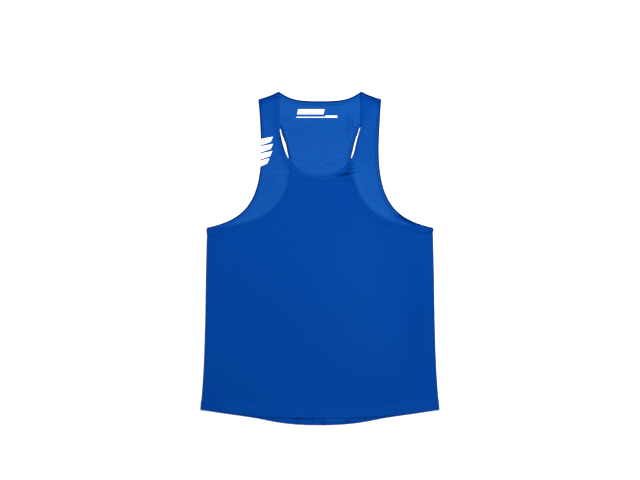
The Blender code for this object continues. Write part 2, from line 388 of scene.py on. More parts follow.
# Painted shade in the hollows of creases and at the armpit, and a few painted darker or paler patches: each
# adds to a place's layer count, and a negative height paints light
BACK_PAINTED_SHADING = [
    Crease((0.0615, 0.040), (0.0640, 0.106), 0, 0.0034, 0.5),
    Crease((0.0705, 0.048), (0.0725, 0.088), 0, 0.0034, 0.6),
    # painted darker across the top of the neck
    Crease((-0.1400, 0.0800), (0.1400, 0.0800), 0, 0.0340, 0.22),
    # painted shade in the tail's ripples, and a painted highlight along the stretch of it just under the
    # front's hem
    Crease((-0.004, 0.7140), (0.020, 0.7165), 0, 0.0036, 1.1),
    Crease((0.048, 0.7120), (0.074, 0.7155), 0, 0.0036, 0.9),
    Crease((-0.030, 0.7120), (-0.010, 0.7125), 0, 0.0028, 0.8),
    Crease((-0.060, 0.7110), (-0.034, 0.7120), 0, 0.0024, 0.6),
    Crease((-0.0150, 0.7092), (0.0750, 0.7088), 0, 0.0020, -1.2),
]
FRONT_PAINTED_SHADING = [
    # painted shade in the fan at the left of the neckline
    Crease((0.0330, 0.1845), (0.0710, 0.1735), 0, 0.0028, 2.0),
    Crease((0.0490, 0.1710), (0.0760, 0.1640), 0, 0.0025, 0.5),
    Crease((0.0520, 0.1628), (0.0810, 0.1552), 0, 0.0025, 0.5),
    Crease((0.0650, 0.1370), (0.0735, 0.1800), 0, 0.0095, 0.2),
    # painted shade at the foot of the left armhole, and along a broad soft fold down the left side
    Crease((0.1620, 0.2620), (0.2260, 0.2930), 0.0022, 0.0036, 3.3),
    Crease((0.1450, 0.2640), (0.2150, 0.2850), 0, 0.0080, 0.9),
    Crease((0.2130, 0.3000), (0.2130, 0.7000), 0, 0.0160, 0.35),
    # the flat of the left side, painted a little paler
    Crease((0.0600, 0.2300), (0.1300, 0.6800), 0, 0.0850, -0.16),
    # the hem's right corner, and the right strap's outer half, painted darker
    Crease((-0.2450, 0.6200), (-0.2250, 0.7800), 0, 0.0300, 0.40),
    Crease((-0.1200, 0.1450), (-0.1000, 0.2450), 0, 0.0240, 0.25),
    # the hem, in painted shade where it rides up on the tail's ripples
    Crease((-0.0550, 0.7072), (-0.0330, 0.7072), 0, 0.0022, 1.3),
    Crease((-0.0270, 0.7068), (-0.0110, 0.7080), 0, 0.0022, 1.2),
]

# How many layers a place shows: 1 is see-through cloth alone, 2 the front over the back, 3 a seam; painted
# shade and painted light are added to this count as well
BACK_HEM_SHOWS, BACK_BINDING_SHOWS, SIDE_SEAM_SHOWS, FRONT_HEM_PALER = 0.65, 0.22, 0.2, 0.1
STRAP_ALONE, STRAP_OVER_BACK = 1.42, 0.4  # the straps, doubled in part, show deeper and more evenly
STRAP_DOWN, STRAP_BLEND = 0.185, 0.06
back_layers_and_shade = 1 + spread(front_cover, 2) + BACK_HEM_SHOWS * spread(back_hem_band) + creased(BACK_PAINTED_SHADING)
strap = ease((STRAP_DOWN - places[..., 1]) / STRAP_BLEND)
front_layers_and_shade = 1 + spread(back_cover, 2) + BACK_BINDING_SHOWS * spread(back_bands * back_cover, 2)
front_layers_and_shade *= 1 - strap
front_layers_and_shade += (STRAP_ALONE + STRAP_OVER_BACK * spread(back_cover, 16)) * strap + creased(FRONT_PAINTED_SHADING)
front_layers_and_shade += spread(shoulder_band, 3) + SIDE_SEAM_SHOWS * spread(side_band)
front_layers_and_shade -= FRONT_HEM_PALER * front_hem_band

COLUMNS = 82
ARMHOLE_ROWS = 144
SIDE_ROWS = 92
ARMPIT_ROW_DOWN = 0.47  # where the row from the armpit meets the centre line
HEM_TOP = 0.026  # where a hem's own rows begin, above its fold
HEM_ROW_DEPTHS = (
    0.0225, 0.0208, 0.0196, 0.0184, 0.0172, 0.016, 0.0146, 0.012, 0.009, 0.006, 0.0035, 0.0018, HEM_TURN,
)
ALLOWANCE_DEPTHS = (0.003, 0.007, 0.011, 0.0155, HEM_DEPTH)
TURN_STEPS = 5
ROLL_STEPS = 4
ROLL_ROOM = 0.0005
GROOVE_DEPTH = 0.0172  # how far above the fold a hem is stitched
GROOVE_WIDTH = 0.0011
GROOVE_SINK = 0.00008
TAIL_EDGE = 0.0024
SIDE_SHADE, SHOULDER_SHADE, TAIL_SHADE, GROOVE_SHADE = 0.8, 1.6, 1.3, 0.2  # painted shade that each adds, counted in layers


def panel_rows(panel, neck_rows):
    """Half a panel as rows of flat points, from the centre side to the outer side, shoulder to hem."""
    chains = []
    for edge, width, cuts, rows in (
        (panel.neck, NECK_BINDING, NECK_CUTS, neck_rows),
        (panel.armhole, ARMHOLE_BINDING, ARMHOLE_CUTS, ARMHOLE_ROWS),
    ):
        chains.append(divided(inset(edge, width - TUCK + ROLL_ROOM, *cuts), walked(edge), rows))
    neck_cut, armhole_cut = chains
    hem_row = divided(panel.hem, walked(panel.hem), COLUMNS)

    def side_at(down):
        return np.interp(down, panel.side[:, 1], panel.side[:, 0]) - ROLL_ROOM

    def above_hem(depth):
        down = hem_row[:, 1] - depth
        return np.stack([hem_row[:, 0] * side_at(down[-1]) / hem_row[-1, 0], down], axis=1)

    first = above_hem(HEM_TOP)
    level = np.array([0, ARMPIT_ROW_DOWN])
    side_down = np.linspace(armhole_cut[-1, 1], first[-1, 1], SIDE_ROWS + 1)
    side = np.stack([side_at(side_down), side_down], axis=1)
    side[0] = armhole_cut[-1]
    upper_centre = np.linspace(neck_cut[-1], level, ARMHOLE_ROWS - neck_rows + 1)
    lower_centre = np.linspace(level, first[0], SIDE_ROWS + 1)
    inner = np.concatenate([neck_cut, upper_centre[1:], lower_centre[1:]])[:, None]
    outer = np.concatenate([armhole_cut, side[1:]])[:, None]
    share = np.linspace(0, 1, COLUMNS + 1)[:, None]
    rows = inner * (1 - share) + outer * share
    rows += (first - rows[-1]) * np.linspace(0, 1, len(rows))[:, None, None] ** 2
    hem = np.array([above_hem(depth) for depth in HEM_ROW_DEPTHS])
    allowance = np.array([above_hem(depth) for depth in ALLOWANCE_DEPTHS])
    return rows, hem, allowance


def put(name, data):
    """A new object, linked to the scene."""
    thing = bpy.data.objects.new(name, data)
    bpy.context.scene.collection.objects.link(thing)
    return thing


def shell(name, points, faces, attributes, wall, material):
    """A closed, smooth shell of cloth, from the surface in the middle of its wall."""
    mesh = bpy.data.meshes.new(name + "_middle")
    mesh.from_pydata(points.reshape(-1, 3).tolist(), [], faces)
    for title, values in attributes.items():
        kind = "FLOAT" if values.size == len(mesh.vertices) else "FLOAT_VECTOR"
        layer = mesh.attributes.new(title, kind, "POINT")
        layer.data.foreach_set("value" if kind == "FLOAT" else "vector", values.astype(np.float32).ravel())
    middle = put(name + "_middle", mesh)
    solid = middle.modifiers.new("Wall", "SOLIDIFY")
    solid.thickness = wall
    solid.offset = 0
    ready = middle.evaluated_get(bpy.context.evaluated_depsgraph_get())
    finished = bpy.data.meshes.new_from_object(ready)
    bpy.data.objects.remove(middle)
    finished.name = name
    finished.shade_smooth()
    finished.materials.clear()
    finished.materials.append(material)
    return put(name, finished)


def panel_piece(name, panel, neck_rows, mid, other, inward, layers_and_shade, nudges, material):
    """A panel of cloth. Inward is -1 if its inside faces down, as the front's does, and 1 if it faces up."""
    body, hem, allowance = panel_rows(panel, neck_rows)
    quarter = np.linspace(0, pi / 2, ROLL_STEPS + 1)
    half = np.linspace(0, pi, TURN_STEPS + 1)[1:]
    flat = np.concatenate([
        np.repeat(body[:1], ROLL_STEPS, axis=0), body, hem, np.repeat(hem[-1:], TURN_STEPS, axis=0), allowance
    ])
    rows = len(flat)
    shoulder = np.zeros(rows)
    shoulder[:ROLL_STEPS] = quarter[:0:-1]
    turned = np.concatenate([np.zeros(ROLL_STEPS + len(body) + len(hem)), half, np.full(len(allowance), pi)])
    depth = np.concatenate([
        np.full(ROLL_STEPS + len(body), 1.0), HEM_ROW_DEPTHS, np.zeros(TURN_STEPS), ALLOWANCE_DEPTHS
    ])
    is_side = np.arange(rows) >= ROLL_STEPS + ARMHOLE_ROWS

    # The outer columns tuck into the armhole binding, or roll over to meet the other panel at the side
    flat = np.concatenate([flat, np.repeat(flat[:, -1:], ROLL_STEPS, axis=1)], axis=1)
    roll = np.zeros(flat.shape[:2])
    roll[:, -ROLL_STEPS:] = quarter[1:]
    tucked = np.zeros(flat.shape[:2])
    tucked[:, -ROLL_STEPS:] = np.arange(1, ROLL_STEPS + 1) / ROLL_STEPS

    halves = []
    for side in (1, -1):
        slid = drift(flat[..., 1]) * (inward > 0)
        x, y = side * flat[..., 0] + slid, LENGTH / 2 - flat[..., 1]
        middle, facing = at(mid, x, y), at(other, x, y)
        gap = abs(middle - facing) / 2
        kept = (1 - turned / pi)[:, None] * is_side[:, None]
        across = flat[..., 0] + gap * np.sin(roll) * kept + ROLL_ROOM * tucked * (1 - kept)
        across += gap * np.sin(shoulder)[:, None] * SHOULDER_SEAM[1]
        down = flat[..., 1] - gap * np.sin(shoulder)[:, None] * SHOULDER_SEAM[0]
        down = down + HEM_TURN * np.sin(turned)[:, None]
        z = middle + inward * gap * ((1 - np.cos(roll)) * kept + (1 - np.cos(shoulder))[:, None])
        z = z + inward * HEM_TURN * (1 - np.cos(turned))[:, None]
        z = z - GROOVE_SINK * np.exp(-(((depth - GROOVE_DEPTH) / GROOVE_WIDTH) ** 2))[:, None]
        x = laid(side * across + slid, down, nudges)
        halves.append(np.stack([x, LENGTH / 2 - down, z], axis=-1))

    columns = flat.shape[1]
    first_id = np.arange(rows * columns).reshape(rows, columns)
    second_id = first_id + rows * columns
    second_id[ROLL_STEPS + neck_rows :, 0] = first_id[ROLL_STEPS + neck_rows :, 0]
    faces = []
    for ids, way in ((first_id, inward), (second_id, -inward)):
        quads = np.stack([ids[:-1, :-1], ids[1:, :-1], ids[1:, 1:], ids[:-1, 1:]], axis=-1).reshape(-1, 4)
        faces.append(quads[:, ::-1] if way > 0 else quads)
    used, faces = np.unique(np.concatenate(faces), return_inverse=True)
    points = np.concatenate([part.reshape(-1, 3) for part in halves])[used]
    faces = faces.reshape(-1, 4)
    shown = at(layers_and_shade, points[:, 0], points[:, 1])

    # Painted shade where the knit turns over at a side, a shoulder or the tail, and in the groove of a hem's
    # stitches
    side_shade = np.zeros(flat.shape[:2])
    side_shade[:, -ROLL_STEPS - 1 :] = SIDE_SHADE
    fold_shade = GROOVE_SHADE * np.exp(-(((depth - GROOVE_DEPTH) / GROOVE_WIDTH) ** 2))
    if inward > 0:
        fold_shade += TAIL_SHADE * np.exp(-((depth / TAIL_EDGE) ** 2))
    fold_shade[: ROLL_STEPS + 3] = [SHOULDER_SHADE] * (ROLL_STEPS + 1) + [1.0, 0.4]
    shown += np.tile(np.maximum(side_shade * kept, fold_shade[:, None]).ravel(), 2)[used]
    knit_place = np.stack([points[:, 0], points[:, 1], np.zeros(len(points))], axis=1)
    return shell(name, points, faces.tolist(), {"layers_and_shade": shown, "knit_place": knit_place}, KNIT, material)


def linear(code):
    """An sRGB hex colour as linear red, green, blue and alpha."""
    parts = [int(code[i : i + 2], 16) / 255 for i in (0, 2, 4)]
    return (*[p / 12.92 if p <= 0.04045 else ((p + 0.055) / 1.055) ** 2.4 for p in parts], 1)


def add(tree, kind, inputs=None, **settings):
    """Adds a node with its settings; its inputs are numbers, colours or other nodes' sockets."""
    node = tree.nodes.new(kind)
    for setting, value in settings.items():
        setattr(node, setting, value)
    for socket, value in (inputs or {}).items():
        if isinstance(value, bpy.types.NodeSocket):
            tree.links.new(value, node.inputs[socket])
        else:
            node.inputs[socket].default_value = value
    return node


def started(name, settings):
    """A new material, with its node tree and its shader, whose own sockets are set."""
    material = bpy.data.materials.new(name)
    material.use_nodes = True
    surface = material.node_tree.nodes["Principled BSDF"]
    for socket, value in settings.items():
        surface.inputs[socket].default_value = value
    return material, material.node_tree, surface


WAVE_PERIOD = 0.314  # metres from crest to crest of a wave texture at scale 1
WALE = 0.00075  # from one column of knit stitches to the next
COURSE = 0.0006  # from one row of knit stitches to the next
PATCHES_PER_METRE = 120
FLECKS_PER_METRE = 330
MOTTLING_ALONE, MOTTLING_DOUBLE = 0.55, 0.14  # how strong the mottling is on one layer, and on nearly two
GRAIN_DEPTH = 0.00012
# The fold blue is painted shade, for folds, crease hollows and dark outlines
BLUE_ALONE, BLUE_DOUBLE, BLUE_SEAM, BLUE_FOLD_SHADE = "0B4288", "00357F", "002B71", "001B50"


def polyester_jersey(name):
    """Fine polyester jersey, knitted in one colour and heat-set, for a matt and evenly blue face.
    It is thin enough that white shows through one layer, so it is palest alone and deeper where more lie
    together; its darkest blue is painted shade, for folds, crease hollows and outlines.
    Its wales and courses give a grain too fine to see from afar, and its yarn a soft uneven mottling."""
    finish = {"Roughness": 0.8, "Specular IOR Level": 0.02, "Sheen Weight": 0.02, "Sheen Roughness": 0.5}
    material, tree, surface = started(name, finish | {"Sheen Tint": linear("2F7BD8")})
    place = add(tree, "ShaderNodeAttribute", attribute_name="knit_place")
    layers_and_shade = add(tree, "ShaderNodeAttribute", attribute_name="layers_and_shade")
    depth = add(tree, "ShaderNodeMapRange", {"Value": layers_and_shade.outputs["Fac"], "From Min": 1, "From Max": 4})
    tint = add(tree, "ShaderNodeValToRGB", {"Fac": depth.outputs["Result"]})
    ramp = tint.color_ramp
    ramp.elements[0].color, ramp.elements[1].color = linear(BLUE_ALONE), linear(BLUE_FOLD_SHADE)
    ramp.elements.new(1 / 3).color = linear(BLUE_DOUBLE)
    ramp.elements.new(2 / 3).color = linear(BLUE_SEAM)
    # Yarn mottling: patches of about 20 by 8 mm and flecks of 8 by 3 mm, both longer along the courses, and
    # strongest where the cloth is see-through
    stretched = add(tree, "ShaderNodeMapping", {"Vector": place.outputs["Vector"], "Scale": (0.4, 1, 1)})
    coarse = {"Vector": stretched.outputs[0], "Scale": PATCHES_PER_METRE, "Detail": 2}
    fine = {"Vector": stretched.outputs[0], "Scale": FLECKS_PER_METRE, "Detail": 2}
    patches = add(tree, "ShaderNodeTexNoise", coarse)
    flecks = add(tree, "ShaderNodeTexNoise", fine)
    mixed = add(tree, "ShaderNodeMix", {0: 0.35, 2: patches.outputs["Fac"], 3: flecks.outputs["Fac"]})
    thinning = {"Value": layers_and_shade.outputs["Fac"], "From Min": 1, "From Max": 1.9}
    thinning |= {"To Min": MOTTLING_ALONE, "To Max": MOTTLING_DOUBLE}
    strength = add(tree, "ShaderNodeMapRange", thinning)
    centred = add(tree, "ShaderNodeMath", {0: mixed.outputs[0], 1: 0.5}, operation="SUBTRACT")
    mottling = {0: centred.outputs[0], 1: strength.outputs["Result"], 2: 1}
    shade = add(tree, "ShaderNodeMath", mottling, operation="MULTIPLY_ADD")
    shaded = {0: tint.outputs["Color"], "Scale": shade.outputs[0]}
    colour = add(tree, "ShaderNodeVectorMath", shaded, operation="SCALE")
    tree.links.new(colour.outputs[0], surface.inputs["Base Color"])
    columns = {"Vector": place.outputs["Vector"], "Scale": WAVE_PERIOD / WALE}
    rows = {"Vector": place.outputs["Vector"], "Scale": WAVE_PERIOD / COURSE}
    wales = add(tree, "ShaderNodeTexWave", columns, bands_direction="X")
    courses = add(tree, "ShaderNodeTexWave", rows, bands_direction="Y")
    loops = {0: wales.outputs["Fac"], 1: courses.outputs["Fac"]}
    grain = add(tree, "ShaderNodeMath", loops, operation="MULTIPLY")
    raised = {"Height": grain.outputs[0], "Strength": 0.35, "Distance": GRAIN_DEPTH}
    bump = add(tree, "ShaderNodeBump", raised)
    tree.links.new(bump.outputs[0], surface.inputs["Normal"])
    return material


panel_jersey = polyester_jersey("polyester_jersey")

BACK_NECK_ROWS = 36
back_cloth = panel_piece(
    "back_cloth", back, BACK_NECK_ROWS, back_mid, front_mid, 1, back_layers_and_shade, BACK_NUDGES, panel_jersey
)
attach(back_cloth, "root")
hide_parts("back_panel")


# ---- Front panel ----
# One piece of the same jersey with a deep scoop neck and shallower armholes. It lies on the back, and on the
# floor beyond the back's armholes. It rolls over to meet the back at the sewn shoulders and sides, and its
# hem allowance is turned up underneath it.

FRONT_NECK_ROWS = 72
front_cloth = panel_piece(
    "front_cloth", front, FRONT_NECK_ROWS, front_mid, back_mid, -1, front_layers_and_shade, FRONT_NUDGES, panel_jersey
)
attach(front_cloth, "root")
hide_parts("front_panel")


# ---- Neck binding ----
# A strip of the same jersey, folded round the raw neck edge and stitched down through all its layers. It is a
# closed ring: along the front, over both shoulder seams and along the back. It is firmer than the panels.

STRIP_MIDDLE = 0.00045  # from the middle of a binding to the middle of its outer layer
FOLD_STEPS = 8
FOLD_ANGLES = (1.15, 0.4, -0.4, -1.15)  # round a binding's edge, from one face to the other
SEAM_SHARE = 0.825  # where a binding is stitched, as a share of its width
SEAM_HEIGHT = 0.00037  # its outer layer's height there, pulled in by the stitches
LOOSE_SHARE = 0.75  # up to here from the fold the binding puckers
PUCKER_LENGTH = 0.0055
PUCKER_HEIGHT = 0.00005
BACK_LAYERS, OVER_SEAM_LAYERS = 1.2, 3  # what a binding shows as, on the back and over a seam
BARE_REACH = 0.0035  # how far past its fold the floor is looked for
# painted shade towards a binding's fold, and a dark painted outline where the fold lies over bare floor
FOLD_EDGE_SHADE, BARE_FOLD_OUTLINE_SHADE = 0.5, 2.8
FOLD_REACHES, BARE_FOLD_REACHES = 0.42, 0.52  # how far in from the fold each painted shade reaches, as shares
Stations = namedtuple("Stations", "pairs turn outward")
Flank = namedtuple("Flank", "share height")
FLANKS = (
    # one face of a binding from its inner edge to its fold: share of its width, and height above its middle
    Flank(1.0, 0.00016), Flank(0.965, 0.00030), Flank(0.92, 0.00043), Flank(0.87, 0.00043),
    Flank(SEAM_SHARE, SEAM_HEIGHT), Flank(0.78, 0.00044), Flank(0.68, 0.00050), Flank(0.5, 0.00052),
    Flank(0.3, 0.00051), Flank(0.15, 0.00048),
)


def strip(edge, width, cuts, steps):
    """Pairs of flat points along an edge: on it, and where its binding ends."""
    inner = inset(edge, width, *cuts)
    lengths = walked(edge)
    return np.stack([divided(edge, lengths, steps), divided(inner, lengths, steps)], axis=1)


def seam_fold(upper, lower, seam):
    """The stations of a half turn round a seam, from a pair on the front to a pair on the back."""
    share = np.linspace(0, 1, FOLD_STEPS + 1)[1:-1]
    pairs = upper + (lower - upper) * share[:, None, None]
    return Stations(pairs, share * pi, np.repeat([[seam[1], -seam[0]]], len(share), axis=0))


def flat_stations(pairs, turn):
    """Stations where a binding lies flat, on the front (turn 0) or on the back (turn pi)."""
    return Stations(pairs, np.full(len(pairs), turn), np.zeros((len(pairs), 2)))


def joined(*parts):
    """Runs of stations put end to end."""
    return Stations(*[np.concatenate(column) for column in zip(*parts)])


def other_side(stations):
    """The same stations, mirrored and walked the other way."""
    flipped = stations.pairs[::-1] * (-1, 1), stations.turn[::-1], stations.outward[::-1] * (-1, 1)
    return Stations(*flipped)


def binding_frame(stations, shares):
    """In space: each station's points at shares of the binding's width, and the way out of its upper face."""
    turn, outward = stations.turn[:, None], stations.outward
    shares = np.array(shares)[:, None]
    flat = stations.pairs[:, :1] * (1 - shares) + stations.pairs[:, 1:] * shares
    down = flat[..., 1]
    x = flat[..., 0] + drift(down) * (1 - np.cos(turn)) / 2
    y = LENGTH / 2 - down
    upper, lower = at(front_mid, x, y), at(back_mid, x, y)
    radius = (upper - lower) / 2
    x = np.where(turn < pi / 2, laid(x, down, FRONT_NUDGES), laid(x, down, BACK_NUDGES))
    x = x + outward[:, :1] * radius * np.sin(turn)
    y = y - outward[:, 1:] * radius * np.sin(turn)
    z = (upper + lower) / 2 + radius * np.cos(turn)
    out = np.concatenate([outward * (1, -1) * np.sin(turn), np.cos(turn)], axis=1)
    return np.stack([x, y, z], axis=-1), out


def binding_piece(name, stations, seam_shade, material, seed):
    """A folded strip of cloth round an edge, as a closed ring with a U-shaped section."""
    shares = np.array([share for share, _ in FLANKS])
    fold = [(0.5 - 0.5 * cos(angle), sin(angle)) for angle in FOLD_ANGLES]
    middle, out = binding_frame(stations, [0, *shares])
    edge = middle[:, 0]
    into = middle[:, 1] - edge
    into /= np.linalg.norm(into, axis=1)[:, None]
    along = walked(edge)
    rng = np.random.default_rng(seed)
    stops = np.arange(0, along[-1] + 0.006, PUCKER_LENGTH)
    pucker = rng.uniform(-1, 1, (2, len(stops)))
    pucker[:, -1] = pucker[:, 0]
    columns = []
    for face in (1, -1):
        rise = np.interp(along, stops, pucker[0 if face > 0 else 1]) * PUCKER_HEIGHT
        sides = [
            middle[:, i + 1] + out * (face * (height + rise * (share < LOOSE_SHARE)))[:, None]
            for i, (share, height) in enumerate(FLANKS)
        ]
        columns.append(sides if face > 0 else sides[::-1])
    round_edge = [
        edge + into * 2 * STRIP_MIDDLE * inward + out * STRIP_MIDDLE * height for inward, height in fold
    ]
    grid = np.stack(columns[0] + round_edge + columns[1], axis=1)
    rows, cols = grid.shape[:2]
    ids = np.arange(rows * cols).reshape(rows, cols)
    after = np.roll(ids, -1, axis=0)
    faces = np.stack([ids[:, :-1], ids[:, 1:], after[:, 1:], after[:, :-1]], axis=-1).reshape(-1, 4)
    knit_place = np.stack(np.broadcast_arrays(walked(grid[0])[None], along[:, None], 0.0), axis=-1)
    layers_and_shade = at(front_layers_and_shade - 0.3 * (1 - strap), grid[..., 0], grid[..., 1]).clip(1.05)
    layers_and_shade = np.where(stations.turn[:, None] > pi / 2, BACK_LAYERS, layers_and_shade)
    layers_and_shade[(stations.turn > 0) & (stations.turn < pi)] = OVER_SEAM_LAYERS

    # Painted shade along its stitches, and more towards its fold, and most as a dark outline where the fold
    # lies over bare floor
    beyond = edge - BARE_REACH * into
    bare = 1 - at(spread(back_cover), beyond[:, 0], beyond[:, 1])
    along_seam = seam_shade * np.interp(shares, (0.68, 0.78, 0.87, 0.965), (0, 1, 1, 0))
    to_fold = (1 - shares / FOLD_REACHES).clip(0)
    to_floor = ((BARE_FOLD_REACHES - shares) / 0.3).clip(0, 1)
    seam_shade_row = np.concatenate([along_seam, np.zeros(len(fold)), along_seam[::-1]])
    fold_shade_row = np.concatenate([to_fold, np.ones(len(fold)), to_fold[::-1]])
    outline_shade_row = np.concatenate([to_floor, np.ones(len(fold)), to_floor[::-1]])
    layers_and_shade = layers_and_shade + seam_shade_row + fold_shade_row * FOLD_EDGE_SHADE + outline_shade_row * BARE_FOLD_OUTLINE_SHADE * bare[:, None]
    return shell(name, grid, faces.tolist(), {"layers_and_shade": layers_and_shade, "knit_place": knit_place}, KNIT, material)


binding_jersey = polyester_jersey("folded_jersey_binding")

up_front = strip(front.neck, NECK_BINDING, NECK_CUTS, 128)[::-1]
round_back = strip(back.neck, NECK_BINDING, NECK_CUTS, 50)
neck_half = joined(
    flat_stations(up_front, 0),
    seam_fold(up_front[-1], round_back[0], SHOULDER_SEAM),
    flat_stations(round_back, pi),
)
mirrored_half = other_side(neck_half)
neck_ring = joined(neck_half, Stations(*[column[1:-1] for column in mirrored_half]))
neck_binding_cloth = binding_piece("neck_binding_cloth", neck_ring, 0.4, binding_jersey, 21)
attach(neck_binding_cloth, "root")
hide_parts("neck_binding")


# ---- Armhole bindings ----
# Two more folded strips, each a closed ring: down the front of the armhole, round the side seam, up the back
# and over the shoulder. They are narrower than the neck's, and lie on the floor where the front does.

down_front = strip(front.armhole, ARMHOLE_BINDING, ARMHOLE_CUTS, 150)
up_back = strip(back.armhole, ARMHOLE_BINDING, ARMHOLE_CUTS, 170)[::-1]
at_side = seam_fold(down_front[-1], up_back[0], DOWN)
over_shoulder = seam_fold(down_front[0], up_back[-1], SHOULDER_SEAM)
over_shoulder = Stations(*[column[::-1] for column in over_shoulder])
left_ring = joined(flat_stations(down_front, 0), at_side, flat_stations(up_back, pi), over_shoulder)
armhole_rings = {"left": left_ring, "right": other_side(left_ring)}
for side, seed in (("left", 31), ("right", 32)):
    name = f"armhole_binding_{side}"
    piece = binding_piece(name + "_cloth", armhole_rings[side], 0.9, binding_jersey, seed)
    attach(piece, "root")
    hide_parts(name)


# ---- Stitching ----
# Polyester thread in the garment's blue, about 0.3 mm thick. One row holds down each face of every binding,
# and twin rows hold up each hem. The stitches are about 2.4 mm long and sink into the knit at their ends.

PITCH = 0.003
STITCH_LENGTH = 0.0025
STITCH_SIZES = (0.88, 1.1)  # the smallest and the largest, as shares of that
THREAD_RADIUS = 0.00017
TWISTS_PER_METRE = 1400

sewing = bpy.data.node_groups.new("row_of_stitches", "GeometryNodeTree")
for title, kind in (
    ("Seam", "NodeSocketGeometry"), ("Pitch", "NodeSocketFloat"), ("Stitch length", "NodeSocketFloat"),
    ("Thread radius", "NodeSocketFloat"), ("Thread", "NodeSocketMaterial"),
):
    sewing.interface.new_socket(title, in_out="INPUT", socket_type=kind)
sewing.interface.new_socket("Stitches", in_out="OUTPUT", socket_type="NodeSocketGeometry")
given = add(sewing, "NodeGroupInput").outputs
half_length = add(sewing, "ShaderNodeMath", {0: given["Stitch length"], 1: 0.5}, operation="MULTIPLY")
proportions = add(
    sewing, "ShaderNodeCombineXYZ",
    {"X": half_length.outputs[0], "Y": given["Thread radius"], "Z": given["Thread radius"]},
)
grain = add(sewing, "GeometryNodeMeshUVSphere", {"Segments": 6, "Rings": 5, "Radius": 1.0})
lying = add(sewing, "GeometryNodeTransform", {"Geometry": grain.outputs[0], "Rotation": (0, pi / 2, 0)})
stitch = add(sewing, "GeometryNodeTransform", {"Geometry": lying.outputs[0], "Scale": proportions.outputs[0]})
smooth = add(sewing, "GeometryNodeSetShadeSmooth", {"Geometry": stitch.outputs[0]})
line = add(sewing, "GeometryNodeMeshToCurve", {"Mesh": given["Seam"]})
spacing = {"Curve": line.outputs[0], "Length": given["Pitch"]}
spaced = add(sewing, "GeometryNodeResampleCurve", spacing, mode="LENGTH")
tangent = add(sewing, "GeometryNodeInputTangent")
turned = add(sewing, "FunctionNodeAlignRotationToVector", {"Vector": tangent.outputs[0]}, axis="X")
sizes = {2: STITCH_SIZES[0], 3: STITCH_SIZES[1], "Seed": 5}
uneven = add(sewing, "FunctionNodeRandomValue", sizes, data_type="FLOAT")
placed = add(
    sewing, "GeometryNodeInstanceOnPoints",
    {
        "Points": spaced.outputs[0], "Instance": smooth.outputs[0],
        "Rotation": turned.outputs[0], "Scale": uneven.outputs[1],
    },
)
real = add(sewing, "GeometryNodeRealizeInstances", {"Geometry": placed.outputs[0]})
coloured = add(sewing, "GeometryNodeSetMaterial", {"Geometry": real.outputs[0], "Material": given["Thread"]})
add(sewing, "NodeGroupOutput", {"Stitches": coloured.outputs[0]})

# Spun polyester thread: twisted from fine fibres, with painted shade in its hollows about every 0.7 mm, and a
# faint sheen
thread_finish = {"Roughness": 0.6, "Specular IOR Level": 0.1}
thread, thread_tree, thread_surface = started("polyester_sewing_thread", thread_finish)
thread_place = add(thread_tree, "ShaderNodeTexCoord")
twists = {"Vector": thread_place.outputs["Object"], "Scale": TWISTS_PER_METRE, "Detail": 1}
thread_twist = add(thread_tree, "ShaderNodeTexNoise", twists)
thread_tint = add(thread_tree, "ShaderNodeValToRGB", {"Fac": thread_twist.outputs["Fac"]})
thread_tint.color_ramp.elements[0].color = linear("023386")
thread_tint.color_ramp.elements[1].color = linear("0B4DA6")
thread_tree.links.new(thread_tint.outputs["Color"], thread_surface.inputs["Base Color"])


def stitching(name, seams):
    """Rows of stitches along seams, each given by its points in space."""
    points, edges = [], []
    for seam in seams:
        first = sum(len(part) for part in points)
        points.append(seam)
        edges += [(first + i, first + i + 1) for i in range(len(seam) - 1)]
    mesh = bpy.data.meshes.new(name + "_seam")
    mesh.from_pydata(np.concatenate(points).tolist(), edges, [])
    row = put(name + "_seam", mesh)
    sewn = row.modifiers.new("Stitches", "NODES")
    sewn.node_group = sewing
    sockets = {item.name: item.identifier for item in sewing.interface.items_tree if item.in_out == "INPUT"}
    sewn[sockets["Pitch"]] = PITCH
    sewn[sockets["Stitch length"]] = STITCH_LENGTH
    sewn[sockets["Thread radius"]] = THREAD_RADIUS
    sewn[sockets["Thread"]] = thread
    finished = bpy.data.meshes.new_from_object(row.evaluated_get(bpy.context.evaluated_depsgraph_get()))
    row.modifiers.clear()
    bpy.data.objects.remove(row)
    finished.name = name
    piece = put(name, finished)
    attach(piece, "root")


def binding_seams(stations):
    """The rows of stitches of a binding: one on each face, along the front and along the back."""
    middle, out = binding_frame(stations, [SEAM_SHARE])
    line = middle[:, 0]
    rows = []
    for turn in (0, pi):
        run = np.flatnonzero(stations.turn == turn)
        split = np.flatnonzero(np.diff(run) > 1)
        run = np.roll(run, -split[0] - 1) if len(split) else run
        run = run[1:-1]
        rows += [line[run] + out[run] * face * (SEAM_HEIGHT + KNIT / 2) for face in (1, -1)]
    return rows


HEM_SEAM_DEPTHS = (0.0158, 0.0186)
SUNK_ABOVE, SUNK_BELOW = 0.00003, 0.00002  # how far a hem's stitches sink into each face


def hem_seams(panel, heights, lift):
    """The twin rows of a hem's stitches, on one face of it."""
    rows = []
    for depth in HEM_SEAM_DEPTHS:
        right = divided(panel.hem, walked(panel.hem), 120)[:-1] - (0, depth)
        flat = np.concatenate([right[:0:-1] * (-1, 1), right])
        x, y = flat[:, 0], LENGTH / 2 - flat[:, 1]
        rows.append(np.stack([x, y, at(heights, x, y) + lift], axis=1))
    return rows


